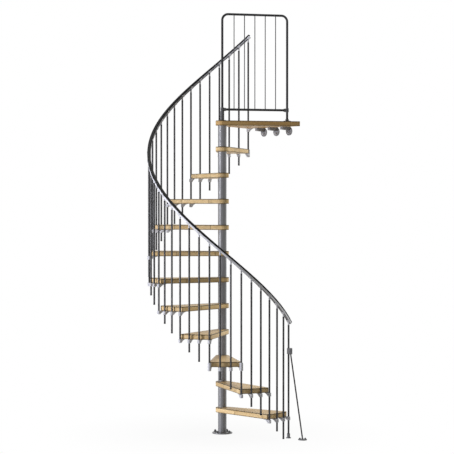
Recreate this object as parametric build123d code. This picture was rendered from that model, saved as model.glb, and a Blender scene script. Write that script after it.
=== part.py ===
from build123d import *
import os
from math import atan2, cos, degrees, radians, sin, sqrt

# Layout of the stair: lengths in millimetres, angles in degrees, anticlockwise from +X seen from above
rise = 225.0
tread_count = 11
tread_turn = 24.0
balusters_per_tread = 3
first_angle = -27.73
tread_length = 612.0
baluster_offset = 20.8

# Fits shared by all pieces
clearance = 0.25
cut_overrun = 5.0

# Centre column
column_diameter = 73.5
column_wall = 4.0
pole_diameter = 48.0
pole_wall = 5.0

# Base flange
base_diameter = 175.0
base_thickness = 10.0
base_edge_radius = 3.0
base_collar_height = 30.0
base_bolt_margin = 13.5
base_bolt_hole_diameter = 13.0
base_bolt_count = 4
base_bolt_angle = 56.0

# Wooden treads
tread_thickness = 42.0
tread_overlap = 0.9
hub_radius = 57.0
tread_corner_radius = 8.0
tread_edge_radius = 4.0

# Wooden landing
landing_exit_turn = 29.27
landing_exit_setback = 16.0
landing_guard_turn = 54.57
landing_corner_radius = 6.0

# Cast brackets that hold the balusters under the treads
socket_diameter = 30.0
socket_depth = 30.0
arm_length = 70.0
arm_width = 28.0
arm_root_height = 27.0
arm_tip_height = 5.0
arm_hollow = 8.0
landing_arm_yaw = 52.0
collar_height = 38.0
collared_seats = [(3, 6), (3, 9), (11, 33)]

# Balusters
baluster_diameter = 16.0
baluster_groups = 4

# Handrail, the metal band under it and the saddles that clip round the band
rail_width = 28.0
rail_height = 14.0
rail_corner_radius = 9.0
rail_rise = 1006.0
rail_foot_turn = 3.9
rail_head_turn = 1.6
band_width = 25.0
band_height = 16.0
band_corner_radius = 3.0
band_setback_turn = 0.6
saddle_length = 24.0
saddle_wall = 3.0
saddle_edge_radius = 2.5
saddle_clearance = 0.4
neck_diameter = 14.0
neck_drop = 48.5

# Foot of the first baluster
foot_diameter = 43.0
foot_thickness = 6.0
foot_collar_diameter = 26.0
foot_collar_height = 34.0

# Brace of the first baluster
brace_diameter = 12.0
brace_reach = 158.0
brace_turn = -16.67
brace_plate_diameter = 75.0
brace_plate_thickness = 8.0
brace_bolt_spacing = 46.0
brace_bolt_hole_diameter = 9.0
clamp_base_height = 712.0
clamp_height = 52.0
clamp_width = 28.0
clamp_reach = 24.0
clamp_edge_radius = 3.0

# Fixing brackets along the exit edge of the landing
fixing_count = 3
fixing_spacing = 169.0
fixing_offset = -31.0
fixing_plate_diameter = 76.0
fixing_plate_thickness = 9.0
fixing_arm_length = 95.0
fixing_arm_width = 30.0
fixing_arm_root_height = 33.0
fixing_arm_tip_height = 26.0
fixing_bolt_hole_diameter = 13.0
fixing_bolt_drop = 16.0

# Guard rail on the landing
guard_corner_setback = 104.8
guard_tube_diameter = 20.0
guard_height = 918.0
guard_bend_radius = 52.0
guard_lower_height = 97.0
guard_rod_count = 5
guard_rod_spacing = 93.0
guard_rod_diameter = 8.0
guard_sleeve_diameter = 34.0
guard_sleeve_height = 80.0
guard_sleeve_flange_diameter = 62.0
guard_sleeve_flange_thickness = 5.0
guard_foot_diameter = 60.0
guard_foot_thickness = 6.0
guard_foot_collar_diameter = 30.0
guard_foot_collar_height = 14.0
tee_diameter = 29.0
tee_height = 34.0
tee_reach = 30.0

# Worked-out layout
baluster_turn = tread_turn / balusters_per_tread
baluster_rise = rise / balusters_per_tread
baluster_count = balusters_per_tread * tread_count + 1
baluster_ring_radius = tread_length + baluster_offset
baluster_drop = tread_thickness + socket_depth
landing_top = rise * (tread_count + 1)
landing_underside = landing_top - tread_thickness
landing_exit_distance = tread_length - landing_exit_setback
last_angle = first_angle - tread_turn * tread_count
landing_exit_angle = last_angle - landing_exit_turn
landing_guard_angle = last_angle - landing_guard_turn
brace_heading = first_angle + brace_turn
base_bolt_circle_radius = base_diameter / 2 - base_bolt_margin
column_start = base_thickness + base_collar_height
pole_bore_radius = pole_diameter / 2 + clearance
baluster_bore_radius = baluster_diameter / 2 + clearance
guard_tube_bore_radius = guard_tube_diameter / 2 + clearance

middle_low = (Align.CENTER, Align.CENTER, Align.MIN)


def polar(radius, angle, height=0.0):
    return Vector(radius * cos(radians(angle)), radius * sin(radians(angle)), height)


def seat_angle(index):
    return first_angle - baluster_turn * index


def rail_level(index):
    return rail_rise + baluster_rise * index


def seat_frame(index, height):
    # Frame on the axis of one baluster, with its x axis towards the column
    angle = seat_angle(index)
    return Pos(*polar(baluster_ring_radius, angle, height)) * Rot(0, 0, angle + 180)


def standing(radius, low, high):
    return Pos(0, 0, low) * Cylinder(radius, high - low, align=middle_low)


def tube(outer_radius, inner_radius, low, high):
    return standing(outer_radius, low, high) - standing(inner_radius, low - cut_overrun, high + cut_overrun)


def gathered(solids):
    return Compound(children=[solid.solid() for solid in solids])


# Base flange: a round plate with a collar that the pole stands in, drilled for its floor bolts
def base_flange():
    plate = standing(base_diameter / 2, 0, base_thickness)
    plate = fillet(plate.edges().group_by(Axis.Z)[-1], base_edge_radius)
    collar = tube(column_diameter / 2, pole_bore_radius, base_thickness, column_start)
    body = plate + collar
    for number in range(base_bolt_count):
        angle = base_bolt_angle + number * 360 / base_bolt_count
        place = Pos(*polar(base_bolt_circle_radius, angle))
        body -= place * standing(base_bolt_hole_diameter / 2, -cut_overrun, base_thickness + cut_overrun)
    return body


def center_pole():
    return tube(pole_diameter / 2, pole_diameter / 2 - pole_wall, base_thickness, landing_top)


# Column sleeves: tubes that space the treads on the pole, the first one on the base collar
def column_sleeves():
    sleeves = []
    low = column_start
    for step in range(1, tread_count + 2):
        high = rise * step - tread_thickness
        sleeves.append(tube(column_diameter / 2, column_diameter / 2 - column_wall, low, high))
        low = rise * step
    return gathered(sleeves)


def hub_tangent(corner, side):
    # Point where the line from a corner touches the hub circle, on the given side of it
    reach = corner.length
    outward = corner.normalized()
    sideways = outward.rotate(Axis.Z, 90) * side
    return (outward * hub_radius + sideways * sqrt(reach**2 - hub_radius**2)) * (hub_radius / reach)


def board(front_corner, outer_edges, rear_corner, corner_radii):
    # A board round the hub: straight sides from the hub to its corners, rounded corners and eased edges
    front_touch = hub_tangent(front_corner, 1)
    rear_touch = hub_tangent(rear_corner, -1)
    behind = (front_corner + rear_corner).normalized() * -hub_radius
    outline = [Line(front_touch, front_corner), *outer_edges, Line(rear_corner, rear_touch)]
    outline.append(ThreePointArc(rear_touch, behind, front_touch))
    face = make_face(outline)
    for corner, radius in corner_radii:
        face = fillet(face.vertices().sort_by_distance(corner)[0], radius)
    solid = extrude(face, tread_thickness)
    rims = solid.edges().group_by(Axis.Z)
    solid = fillet(rims[0] + rims[-1], tread_edge_radius)
    return solid - standing(pole_bore_radius, -cut_overrun, tread_thickness + cut_overrun)


# Treads: each one is a wedge whose corners reach a little past its first and last baluster
def tread(number):
    front_angle = seat_angle(balusters_per_tread * (number - 1)) + tread_overlap
    rear_angle = seat_angle(balusters_per_tread * number) - tread_overlap
    front_corner = polar(tread_length, front_angle)
    rear_corner = polar(tread_length, rear_angle)
    middle = polar(tread_length, (front_angle + rear_angle) / 2)
    rim = ThreePointArc(front_corner, middle, rear_corner)
    radii = [(front_corner, tread_corner_radius), (rear_corner, tread_corner_radius)]
    return Pos(0, 0, rise * number - tread_thickness) * board(front_corner, [rim], rear_corner, radii)


# Landing: starts like a tread, then runs along a straight exit edge to its guarded side
exit_normal = polar(1, landing_exit_angle)
exit_heading = polar(1, landing_exit_angle + 90)
guard_heading = polar(1, landing_guard_angle)
guard_touch = polar(hub_radius, landing_guard_angle - 90)
exit_gap = landing_exit_distance - guard_touch.dot(exit_normal)
landing_side_length = exit_gap / guard_heading.dot(exit_normal)


def landing():
    front_corner = polar(tread_length, last_angle + tread_overlap)
    half_chord = sqrt(tread_length**2 - landing_exit_distance**2)
    meeting = exit_normal * landing_exit_distance + exit_heading * half_chord
    middle = (front_corner + meeting).normalized() * tread_length
    rear_corner = guard_touch + guard_heading * landing_side_length
    rim = [ThreePointArc(front_corner, middle, meeting), Line(meeting, rear_corner)]
    radii = [(front_corner, tread_corner_radius), (rear_corner, landing_corner_radius)]
    return Pos(0, 0, landing_underside) * board(front_corner, rim, rear_corner, radii)


# Cast bracket: a socket round the baluster and a hollowed, tapering arm that screws to the wood above it
def bracket(collar, yaw):
    socket = standing(socket_diameter / 2, -socket_depth, collar)
    half = arm_width / 2
    plan = Pos(arm_length / 2 - half / 2, 0) * Rectangle(arm_length - half, arm_width)
    plan += Pos(arm_length - half, 0) * Circle(half)
    tip = (arm_length, -arm_tip_height)
    root = (socket_diameter / 2, -arm_root_height)
    inside = (0, -arm_root_height)
    side = make_face([
        Polyline(root, inside, (0, 0), (arm_length, 0), tip),
        SagittaArc(root, tip, arm_hollow),
    ])
    arm = extrude(plan, -arm_root_height) & extrude(Plane.XZ * side, arm_width, both=True)
    body = socket + Rot(0, 0, yaw) * arm
    return body - standing(baluster_bore_radius, -socket_depth - cut_overrun, collar + cut_overrun)


def tread_brackets(number):
    pieces = []
    first = balusters_per_tread * (number - 1)
    for index in range(first, first + balusters_per_tread + 1):
        collar = collar_height if (number, index) in collared_seats else 0
        pieces.append(seat_frame(index, rise * number - tread_thickness) * bracket(collar, 0))
    return gathered(pieces)


def landing_bracket():
    return seat_frame(baluster_count - 1, landing_underside) * bracket(0, landing_arm_yaw)


# Balusters: rods of one length that climb with the stair, each ending just under the rail
def baluster(index):
    low = baluster_rise * index - baluster_drop
    if index == 0:
        low = foot_thickness
    high = rail_level(index) - neck_drop
    return seat_frame(index, 0) * standing(baluster_diameter / 2, low, high)


def baluster_group(group):
    size = (baluster_count - 1 + baluster_groups - 1) // baluster_groups
    first = 1 + group * size
    last = min(first + size, baluster_count)
    return gathered([baluster(index) for index in range(first, last)])


# Handrail: a round-topped cap on a metal band, both wound on the baluster ring and climbing clockwise
def along_rail(section, foot_turn, head_turn):
    # Carries a section along the rail's helix, its x axis outwards and its y axis up across the rail
    pitch = baluster_rise * 360 / baluster_turn
    turn = baluster_turn * (baluster_count - 1) + foot_turn + head_turn
    helix = Helix(pitch, pitch * turn / 360, baluster_ring_radius, lefthand=True)
    start_level = rail_level(-foot_turn / baluster_turn)
    path = Pos(0, 0, start_level) * Rot(0, 0, first_angle + foot_turn) * helix
    outward = polar(1, first_angle + foot_turn)
    plane = Plane(path @ 0, x_dir=outward, z_dir=path % 0)
    return sweep(plane * section, path=path, is_frenet=True)


def handrail():
    section = Pos(0, rail_height / 2) * Rectangle(rail_width, rail_height)
    section = fillet(section.vertices().group_by(Axis.Y)[-1], rail_corner_radius)
    return along_rail(section, rail_foot_turn, rail_head_turn)


def rail_band():
    middle = -clearance - band_height / 2
    section = Pos(0, middle) * RectangleRounded(band_width, band_height, band_corner_radius)
    return along_rail(section, rail_foot_turn - band_setback_turn, rail_head_turn - band_setback_turn)


# Saddles: a clip round the band, tilted along the rail, on a neck that stands on the baluster
def rail_saddles():
    run = radians(baluster_turn) * baluster_ring_radius
    along_band = Rot(degrees(atan2(baluster_rise, run)), 0, 0)
    band_underside = clearance + band_height
    clip_height = band_underside + saddle_wall - saddle_clearance
    slot_height = band_underside + saddle_clearance
    middle_high = (Align.CENTER, Align.CENTER, Align.MAX)
    clip = Box(band_width + 2 * saddle_wall, saddle_length, clip_height, align=middle_high)
    clip = fillet(clip.edges().group_by(Axis.Z)[0], saddle_edge_radius)
    slot_length = saddle_length + 2 * neck_diameter
    slot = Box(band_width + 2 * saddle_clearance, slot_length, slot_height, align=middle_high)
    neck = standing(neck_diameter / 2, -neck_drop, -band_underside)
    saddle = neck + along_band * Pos(0, 0, -saddle_clearance) * clip - along_band * slot
    saddles = []
    for index in range(baluster_count):
        saddles.append(seat_frame(index, rail_level(index)) * saddle)
    return gathered(saddles)


# Foot under the first baluster
def first_baluster_foot():
    plate = standing(foot_diameter / 2, 0, foot_thickness)
    collar_top = foot_thickness + foot_collar_height
    collar = tube(foot_collar_diameter / 2, baluster_bore_radius, foot_thickness, collar_top)
    return seat_frame(0, 0) * (plate + collar)


# Brace: a clamp on the first baluster, a slanting rod and a bolted foot plate
first_axis = polar(baluster_ring_radius, first_angle)
brace_place = first_axis + polar(brace_reach, brace_heading)


def brace_clamp():
    plan = SlotCenterToCenter(clamp_reach, clamp_width)
    block = extrude(Pos(clamp_reach / 2, 0) * plan, clamp_height)
    block = fillet(block.edges().group_by(Axis.Z)[0] + block.edges().group_by(Axis.Z)[-1], clamp_edge_radius)
    block -= standing(baluster_bore_radius, -cut_overrun, clamp_height + cut_overrun)
    return Pos(first_axis.X, first_axis.Y, clamp_base_height) * Rot(0, 0, brace_heading) * block


def brace_rod():
    top = first_axis + polar(clamp_reach, brace_heading, clamp_base_height)
    foot = Vector(brace_place.X, brace_place.Y, brace_plate_thickness)
    lean = (top - foot).normalized()
    start = foot - lean * brace_diameter
    length = (top - foot).length + 2 * brace_diameter
    rod = Plane(start, z_dir=lean) * Cylinder(brace_diameter / 2, length, align=middle_low)
    room = 2 * (brace_plate_diameter + (top - foot).length)
    slab_height = clamp_base_height - brace_plate_thickness
    slab = Pos(foot.X, foot.Y, foot.Z) * Box(room, room, slab_height, align=middle_low)
    return rod & slab


def brace_foot():
    plate = standing(brace_plate_diameter / 2, 0, brace_plate_thickness)
    for side in (-1, 1):
        hole = standing(brace_bolt_hole_diameter / 2, -cut_overrun, brace_plate_thickness + cut_overrun)
        plate -= Pos(side * brace_bolt_spacing / 2, 0, 0) * hole
    return Pos(*brace_place) * plate


# Fixing bracket: an arm under the landing and a round plate that bolts to the floor edge
def landing_fixing():
    side = Polyline(
        (-fixing_arm_length, 0),
        (0, 0),
        (0, -fixing_arm_root_height),
        (-fixing_arm_length, -fixing_arm_tip_height),
        close=True,
    )
    arm = extrude(Plane.XZ * make_face(side), fixing_arm_width / 2, both=True)
    plate_radius = fixing_plate_diameter / 2
    plate_place = Pos(-fixing_plate_thickness, 0, -plate_radius) * Rot(0, 90, 0)
    plate = plate_place * Cylinder(plate_radius, fixing_plate_thickness, align=middle_low)
    hole_place = Pos(0, 0, -plate_radius - fixing_bolt_drop) * Rot(0, 90, 0)
    hole = hole_place * Cylinder(fixing_bolt_hole_diameter / 2, 2 * fixing_arm_length)
    return (arm + plate) - hole


def landing_fixings():
    pieces = []
    exit_frame = Pos(0, 0, landing_underside) * Rot(0, 0, landing_exit_angle)
    for number in range(fixing_count):
        along = fixing_offset + (number - (fixing_count - 1) / 2) * fixing_spacing
        pieces.append(exit_frame * Pos(landing_exit_distance, along, 0) * landing_fixing())
    return gathered(pieces)


# Guard rail of the landing, in the upright plane through the column axis
guard_frame = Pos(0, 0, landing_top) * Rot(0, 0, landing_guard_angle)
guard_span = landing_side_length - guard_corner_setback


def landing_rail_frame():
    path = FilletPolyline(
        (0, 0, guard_sleeve_flange_thickness),
        (0, 0, guard_height),
        (guard_span, 0, guard_height),
        (guard_span, 0, 0),
        radius=guard_bend_radius,
    )
    section = Plane(path @ 0, z_dir=path % 0) * Circle(guard_tube_diameter / 2)
    return guard_frame * sweep(section, path=path)


def lying(radius, low, high):
    return Rot(0, 90, 0) * standing(radius, low, high)


def landing_lower_rail():
    low = guard_tube_bore_radius + clearance
    return guard_frame * Pos(0, 0, guard_lower_height) * lying(guard_tube_diameter / 2, low, guard_span - low)


def landing_rail_tees():
    tee = standing(tee_diameter / 2, -tee_height / 2, tee_height / 2)
    tee += lying(tee_diameter / 2, 0, tee_reach)
    tee -= standing(guard_tube_bore_radius, -tee_height, tee_height)
    tee -= lying(guard_tube_bore_radius, 0, tee_reach + cut_overrun)
    left = Pos(0, 0, guard_lower_height) * tee
    right = Pos(guard_span, 0, guard_lower_height) * Rot(0, 0, 180) * tee
    return gathered([guard_frame * left, guard_frame * right])


def landing_rods():
    low = guard_lower_height + guard_tube_diameter / 2 + clearance
    high = guard_height - guard_tube_diameter / 2 - clearance
    rods = []
    for number in range(guard_rod_count):
        along = guard_span / 2 + (number - (guard_rod_count - 1) / 2) * guard_rod_spacing
        rods.append(guard_frame * Pos(along, 0, 0) * standing(guard_rod_diameter / 2, low, high))
    return gathered(rods)


# Fittings under the guard's posts: a flanged sleeve over the column and a foot near the exit corner
def landing_post_fittings():
    flange_top = guard_sleeve_flange_thickness
    flange = standing(guard_sleeve_flange_diameter / 2, 0, flange_top)
    sleeve = flange + tube(guard_sleeve_diameter / 2, guard_tube_bore_radius, flange_top, guard_sleeve_height)
    collar_top = guard_foot_thickness + guard_foot_collar_height
    foot = standing(guard_foot_diameter / 2, 0, guard_foot_thickness)
    foot += standing(guard_foot_collar_diameter / 2, 0, collar_top)
    foot -= standing(guard_tube_bore_radius, -cut_overrun, collar_top + cut_overrun)
    return gathered([guard_frame * sleeve, guard_frame * Pos(guard_span, 0, 0) * foot])


# One file per named piece
def assembly():
    pieces = {
        "base_flange": base_flange(),
        "center_pole": center_pole(),
        "column_sleeves": column_sleeves(),
    }
    for number in range(1, tread_count + 1):
        pieces[f"tread_{number:02d}"] = tread(number)
        pieces[f"brackets_{number:02d}"] = tread_brackets(number)
    pieces["landing"] = landing()
    pieces["landing_bracket"] = landing_bracket()
    pieces["landing_fixings"] = landing_fixings()
    pieces["first_baluster"] = baluster(0)
    for group in range(baluster_groups):
        pieces[f"balusters_{group + 1}"] = baluster_group(group)
    pieces["handrail"] = handrail()
    pieces["rail_band"] = rail_band()
    pieces["rail_saddles"] = rail_saddles()
    pieces["first_baluster_foot"] = first_baluster_foot()
    pieces["brace_clamp"] = brace_clamp()
    pieces["brace_rod"] = brace_rod()
    pieces["brace_foot"] = brace_foot()
    pieces["landing_rail_frame"] = landing_rail_frame()
    pieces["landing_lower_rail"] = landing_lower_rail()
    pieces["landing_rail_tees"] = landing_rail_tees()
    pieces["landing_rods"] = landing_rods()
    pieces["landing_post_fittings"] = landing_post_fittings()
    return pieces


os.makedirs("parts", exist_ok=True)
for name, piece in assembly().items():
    export_step(piece, f"parts/{name}.step")
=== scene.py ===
import bpy
import bmesh
import numpy as np
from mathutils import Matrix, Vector


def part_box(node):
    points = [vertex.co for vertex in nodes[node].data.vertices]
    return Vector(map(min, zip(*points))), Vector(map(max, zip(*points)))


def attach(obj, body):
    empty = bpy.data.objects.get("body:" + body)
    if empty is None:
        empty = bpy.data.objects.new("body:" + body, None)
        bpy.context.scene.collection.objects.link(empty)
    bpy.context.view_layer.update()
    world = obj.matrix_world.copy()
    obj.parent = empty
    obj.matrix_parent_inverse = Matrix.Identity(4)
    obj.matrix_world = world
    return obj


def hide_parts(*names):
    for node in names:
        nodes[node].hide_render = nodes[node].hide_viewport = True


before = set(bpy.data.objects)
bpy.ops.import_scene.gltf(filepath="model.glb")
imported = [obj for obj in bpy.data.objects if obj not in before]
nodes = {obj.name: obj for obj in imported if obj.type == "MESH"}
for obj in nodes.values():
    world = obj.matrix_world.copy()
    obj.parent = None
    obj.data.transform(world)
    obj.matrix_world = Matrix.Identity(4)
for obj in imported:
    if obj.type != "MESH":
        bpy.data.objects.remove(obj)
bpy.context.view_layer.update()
print("frame loaded with", len(nodes), "nodes")

# layout of the stair, metres and radians, angles anticlockwise from +X seen from above
stair = {
    "rise": 0.225,
    "treadCount": 11,
    "seatsPerTread": 3,  # a seat is a baluster's place on the rim
    "firstAngle": np.radians(-27.73),
    "treadTurn": np.radians(24.0),
    "treadLength": 0.612,  # from the column's axis to the rim
    "seatRadius": 0.6328,
    "boardThickness": 0.042,
    "hubRadius": 0.057,
    "poleBore": 0.02425,
    "socketDepth": 0.030,  # of a bracket's socket under the wood
    "railRise": 1.006,  # handrail over the floor at the first baluster
    "neckDrop": 0.0485,  # from the handrail down to a baluster's top
}
seatTurn = stair["treadTurn"] / stair["seatsPerTread"]
seatRise = stair["rise"] / stair["seatsPerTread"]
seatCount = stair["seatsPerTread"] * stair["treadCount"] + 1
landingTop = stair["rise"] * (stair["treadCount"] + 1)
landingUnder = landingTop - stair["boardThickness"]
fullTurn = 2 * np.pi
upwards = np.array([0.0, 0.0, 1.0])
uprightLimit = 0.9  # an axis with more rise than this counts as upright
mergeDistance = 1e-6  # points closer than this become one
noiseRoughness = 0.6


def seatAngle(index):
    # angle of a baluster: the first one's less one seat's turn for each seat climbed
    return stair["firstAngle"] - seatTurn * np.asarray(index, float)


def polarPoint(radius, angle):
    # plan point: radius times the cosine and sine of the angle
    return np.array([radius * np.cos(angle), radius * np.sin(angle)])


def bearingOf(point):
    # angle of a plan point from +X: arc tangent of y over x
    return np.arctan2(point[1], point[0])


def seatPlace(index, height):
    # point on a baluster's axis: seat radius times the cosine and sine of its angle, at the given height
    angle = seatAngle(index)
    height = np.broadcast_to(np.asarray(height, float), angle.shape)
    return np.stack([*polarPoint(stair["seatRadius"], angle), height], -1)


def turnAboutZ(angle):
    # one matrix per angle: its columns are the turned x and y axes and the upright z axis
    angle = np.asarray(angle, float)
    zero = np.zeros_like(angle)
    rows = [
        np.stack([np.cos(angle), -np.sin(angle), zero], -1),
        np.stack([np.sin(angle), np.cos(angle), zero], -1),
        np.stack([zero, zero, zero + 1], -1),
    ]
    return np.stack(rows, -2)


def turnToAxis(axis):
    # matrix whose z column is the given axis, with any two square axes beside it
    axis = np.asarray(axis, float) / np.linalg.norm(axis)
    helper = upwards if abs(axis[2]) < uprightLimit else np.array([1.0, 0.0, 0.0])
    side = np.cross(helper, axis)
    side = side / np.linalg.norm(side)
    return np.stack([side, np.cross(axis, side), axis], -1)


def gridQuads(copies, rows, columns, closedRows):
    # each quad joins a grid point to the next one round the row and down the column, wrapping where closed
    r = np.arange(rows if closedRows else rows - 1)[:, None]
    c = np.arange(columns)[None, :]
    nextR = (r + 1) % rows
    nextC = (c + 1) % columns
    corners = [r * columns + c, r * columns + nextC, nextR * columns + nextC, nextR * columns + c]
    quads = np.stack(np.broadcast_arrays(*corners), -1).reshape(-1, 4)
    return (quads[None] + (np.arange(copies) * rows * columns)[:, None, None]).reshape(-1, 4)


def surface(points, closedRows=False):
    # grids (copies, rows, columns, xyz) as points and quads, turned outwards by the sign of the volume
    copies, rows, columns = points.shape[:3]
    quads = gridQuads(copies, rows, columns, closedRows)
    flat = points.reshape(-1, 3)
    first = quads[: len(quads) // copies]
    a, b, c, d = (flat[first[:, k]] - flat[: rows * columns].mean(0) for k in range(4))
    volume = np.einsum("ij,ij->", a, np.cross(b, c)) + np.einsum("ij,ij->", a, np.cross(c, d))
    return flat, quads if volume > 0 else quads[:, ::-1]


def lathe(profile, places, sides, turns=None, flats=None):
    # rows of (radius, height) carried round an axis: radius times the cosine and sine, height along the axis
    angle = np.arange(sides) * fullTurn / sides
    profile = np.asarray(profile, float)
    radius = np.broadcast_to(profile[:, :1], (len(profile), sides))
    if flats is not None:  # hexagon rows: half the key width over the cosine of the angle from a flat
        flatTurn = np.pi / 3
        fromFlat = (angle + flatTurn / 2) % flatTurn - flatTurn / 2
        radius = radius * np.where(np.asarray(flats)[:, None], 1 / np.cos(fromFlat), 1.0)
    height = np.broadcast_to(profile[:, 1:], radius.shape)
    shape = np.stack([radius * np.cos(angle), radius * np.sin(angle), height], -1)
    places = np.atleast_2d(places)
    if turns is None:
        turns = np.eye(3)
    turns = np.broadcast_to(turns, (len(places), 3, 3))
    return np.einsum("nij,rcj->nrci", turns, shape) + places[:, None, None, :]


def carry(section, path, across, up, depth, steps):
    # section along a path: path + x * across + y * up, its ends shrinking by a cosine into shallow domes
    bulge = np.linspace(np.pi / 2, 0, steps)[:-1]
    along = np.gradient(path, axis=0)
    along = along / np.linalg.norm(along, axis=1, keepdims=True)
    last = len(path) - 1
    shrink = np.concatenate([np.cos(bulge), np.ones(last + 1), np.cos(bulge)[::-1]])
    advance = np.concatenate([-np.sin(bulge), np.zeros(last + 1), np.sin(bulge)[::-1]]) * depth
    pick = np.concatenate([np.zeros(len(bulge), int), np.arange(last + 1), np.full(len(bulge), last)])
    middle = section.mean(0)
    shape = middle + (section[None] - middle) * shrink[:, None, None]
    centre = path[pick] + along[pick] * advance[:, None]
    points = centre[:, None] + shape[..., :1] * across[pick][:, None] + shape[..., 1:] * up[pick][:, None]
    return points[None]


def circleLoop(radius, sides):
    # ring of points: radius times the cosine and sine of even steps of a full turn
    angle = np.arange(sides) * fullTurn / sides
    return radius * np.stack([np.cos(angle), np.sin(angle)], -1)


def roundedLoop(width, height, radii, steps):
    # rounded rectangle, anticlockwise from its upper right: quarter circles about four inset corners
    quarter = np.linspace(0, np.pi / 2, steps)
    angle = np.concatenate([quarter + k * np.pi / 2 for k in range(4)])
    side = np.repeat([[1, 1], [-1, 1], [-1, -1], [1, -1]], steps, axis=0)
    radius = np.repeat(radii, steps)[:, None]
    half = np.array([width / 2, height / 2])
    return side * (half - radius) + radius * np.stack([np.cos(angle), np.sin(angle)], -1)


def addPiece(name, parts, material, replaced=(), flatFaces=None, attributes=None, crease=None):
    # joins the parts' points and quads into one mesh, merges poles and hangs it on the root body
    starts = np.cumsum([0] + [len(part[0]) for part in parts])
    points = np.concatenate([part[0] for part in parts])
    quads = np.concatenate([part[1] + start for part, start in zip(parts, starts)])
    mesh = bpy.data.meshes.new(name)
    mesh.from_pydata(points.tolist(), [], quads.tolist())
    smooth = np.ones(len(quads), bool) if flatFaces is None else ~flatFaces
    mesh.polygons.foreach_set("use_smooth", smooth)
    for label, kind, values in attributes or ():
        layer = mesh.attributes.new(label, kind, "POINT")
        field = "vector" if kind == "FLOAT_VECTOR" else "value"
        layer.data.foreach_set(field, values.astype(np.float32).ravel())
    shell = bmesh.new()
    shell.from_mesh(mesh)
    bmesh.ops.remove_doubles(shell, verts=shell.verts, dist=mergeDistance)
    shell.to_mesh(mesh)
    shell.free()
    if crease is not None:  # edges whose faces meet at more than the crease angle stay hard
        mesh.set_sharp_from_angle(angle=crease)
    mesh.materials.append(material)
    piece = bpy.data.objects.new(name, mesh)
    bpy.context.scene.collection.objects.link(piece)
    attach(piece, "root")
    if replaced:
        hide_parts(*replaced)


def addNode(tree, kind, inputs=None, **settings):
    # one shader node: settings first, then each input as a link or a plain value
    node = tree.nodes.new(kind)
    for key, value in settings.items():
        setattr(node, key, value)
    for key, value in (inputs or {}).items():
        if isinstance(value, bpy.types.NodeSocket):
            tree.links.new(value, node.inputs[key])
        else:
            node.inputs[key].default_value = value
    return node


def mathNode(tree, operation, first, second=0.0):
    # the two values under one operation
    return addNode(tree, "ShaderNodeMath", {0: first, 1: second}, operation=operation).outputs[0]


def mixColour(tree, share, first, second, blend="MIX"):
    # the first colour with the given share of the second one blended in
    node = addNode(tree, "ShaderNodeMix", {0: share, 6: first, 7: second}, data_type="RGBA", blend_type=blend)
    return node.outputs[2]


def greyOf(tree, value):
    # the value in all three channels
    return addNode(tree, "ShaderNodeCombineColor", {0: value, 1: value, 2: value}).outputs[0]


def spread(tree, value, low, high, toLow, toHigh):
    # straight line from low and high to the two new ends, held at both ends
    keys = {"Value": value, "From Min": low, "From Max": high, "To Min": toLow, "To Max": toHigh}
    return addNode(tree, "ShaderNodeMapRange", keys).outputs[0]


def offMiddle(tree, value):
    # distance from the middle of a whole step: the fraction less a half, without its sign
    return mathNode(tree, "ABSOLUTE", mathNode(tree, "SUBTRACT", mathNode(tree, "FRACT", value), 0.5))


def noiseOn(tree, vector, scale, detail, stretch=(1.0, 1.0, 1.0)):
    # noise on coordinates that are first stretched along each axis
    placed = addNode(tree, "ShaderNodeMapping", {"Vector": vector, "Scale": stretch}).outputs[0]
    keys = {"Vector": placed, "Scale": scale, "Detail": detail, "Roughness": noiseRoughness}
    return addNode(tree, "ShaderNodeTexNoise", keys).outputs[0]


def boardValue(tree, name, output="Fac"):
    # attribute that a board carries on its points
    return addNode(tree, "ShaderNodeAttribute", attribute_name=name).outputs[output]


def addBump(tree, shader, height, strength, distance):
    # leans the shader's normal by the slope of the height
    keys = {"Height": height, "Strength": strength, "Distance": distance}
    tree.links.new(addNode(tree, "ShaderNodeBump", keys).outputs[0], shader.inputs["Normal"])


def newFinish(name):
    # a new material with its tree and its main shader
    material = bpy.data.materials.new(name)
    material.use_nodes = True
    return material, material.node_tree, material.node_tree.nodes["Principled BSDF"]


# lacquered beech: glued staves, fibre streaks, short ray flecks, darker end grain, painted shade on eased
# edges
beechLook = {
    "pale": (0.84, 0.645, 0.36, 1),
    "deep": (0.66, 0.455, 0.20, 1),
    "fleck": (0.30, 0.16, 0.05, 1),
    "glue": (0.14, 0.075, 0.022, 1),
    # painted shade: colour of the dark line along the eased edges
    "edgeShadeColour": (0.022, 0.013, 0.004, 1),
    "endGrain": (0.46, 0.30, 0.12, 1),
    # painted shade: a darker, deeper colour multiplied over the whole landing
    "landingShadeColour": (0.84, 0.74, 0.58, 1),
    "staveWidth": 0.044,
    "staveLength": 0.62,
    "staveShift": 9.0,  # how far apart two staves take their figure
    "staveTones": (0.82, 1.10),
    "streakStretch": (2.6, 34.0, 34.0),  # along the grain, across it and through the board
    "streakDetail": 4.0,
    "streakShare": 0.75,
    "fibreStretch": (16.0, 420.0, 420.0),
    "fibreDetail": 3.0,
    "fibreShare": 0.25,
    "figureRange": (0.36, 0.64),
    "fleckStretch": (150.0, 1100.0, 700.0),
    "fleckDetail": 2.0,
    "fleckRange": (0.60, 0.72),
    "fleckStrength": 0.4,
    "jointRange": (0.480, 0.494),  # distance from a stave's middle where the glue line begins and is full
    "buttRange": (0.4982, 0.4995),
    "glueStrength": 0.5,
    "endGrainStrength": 0.12,
    "edgeShadeStrength": 0.9,
    "rough": 0.42,
    "roughBelow": 0.05,
    "roughAbove": 0.09,
    "roughRange": (0.3, 0.7),
    "endGrainRough": 0.12,
    "shine": 0.2,
    "jointRelief": 1.5,
    "bumpStrength": 0.12,
    "bumpDistance": 0.0006,
}


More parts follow.
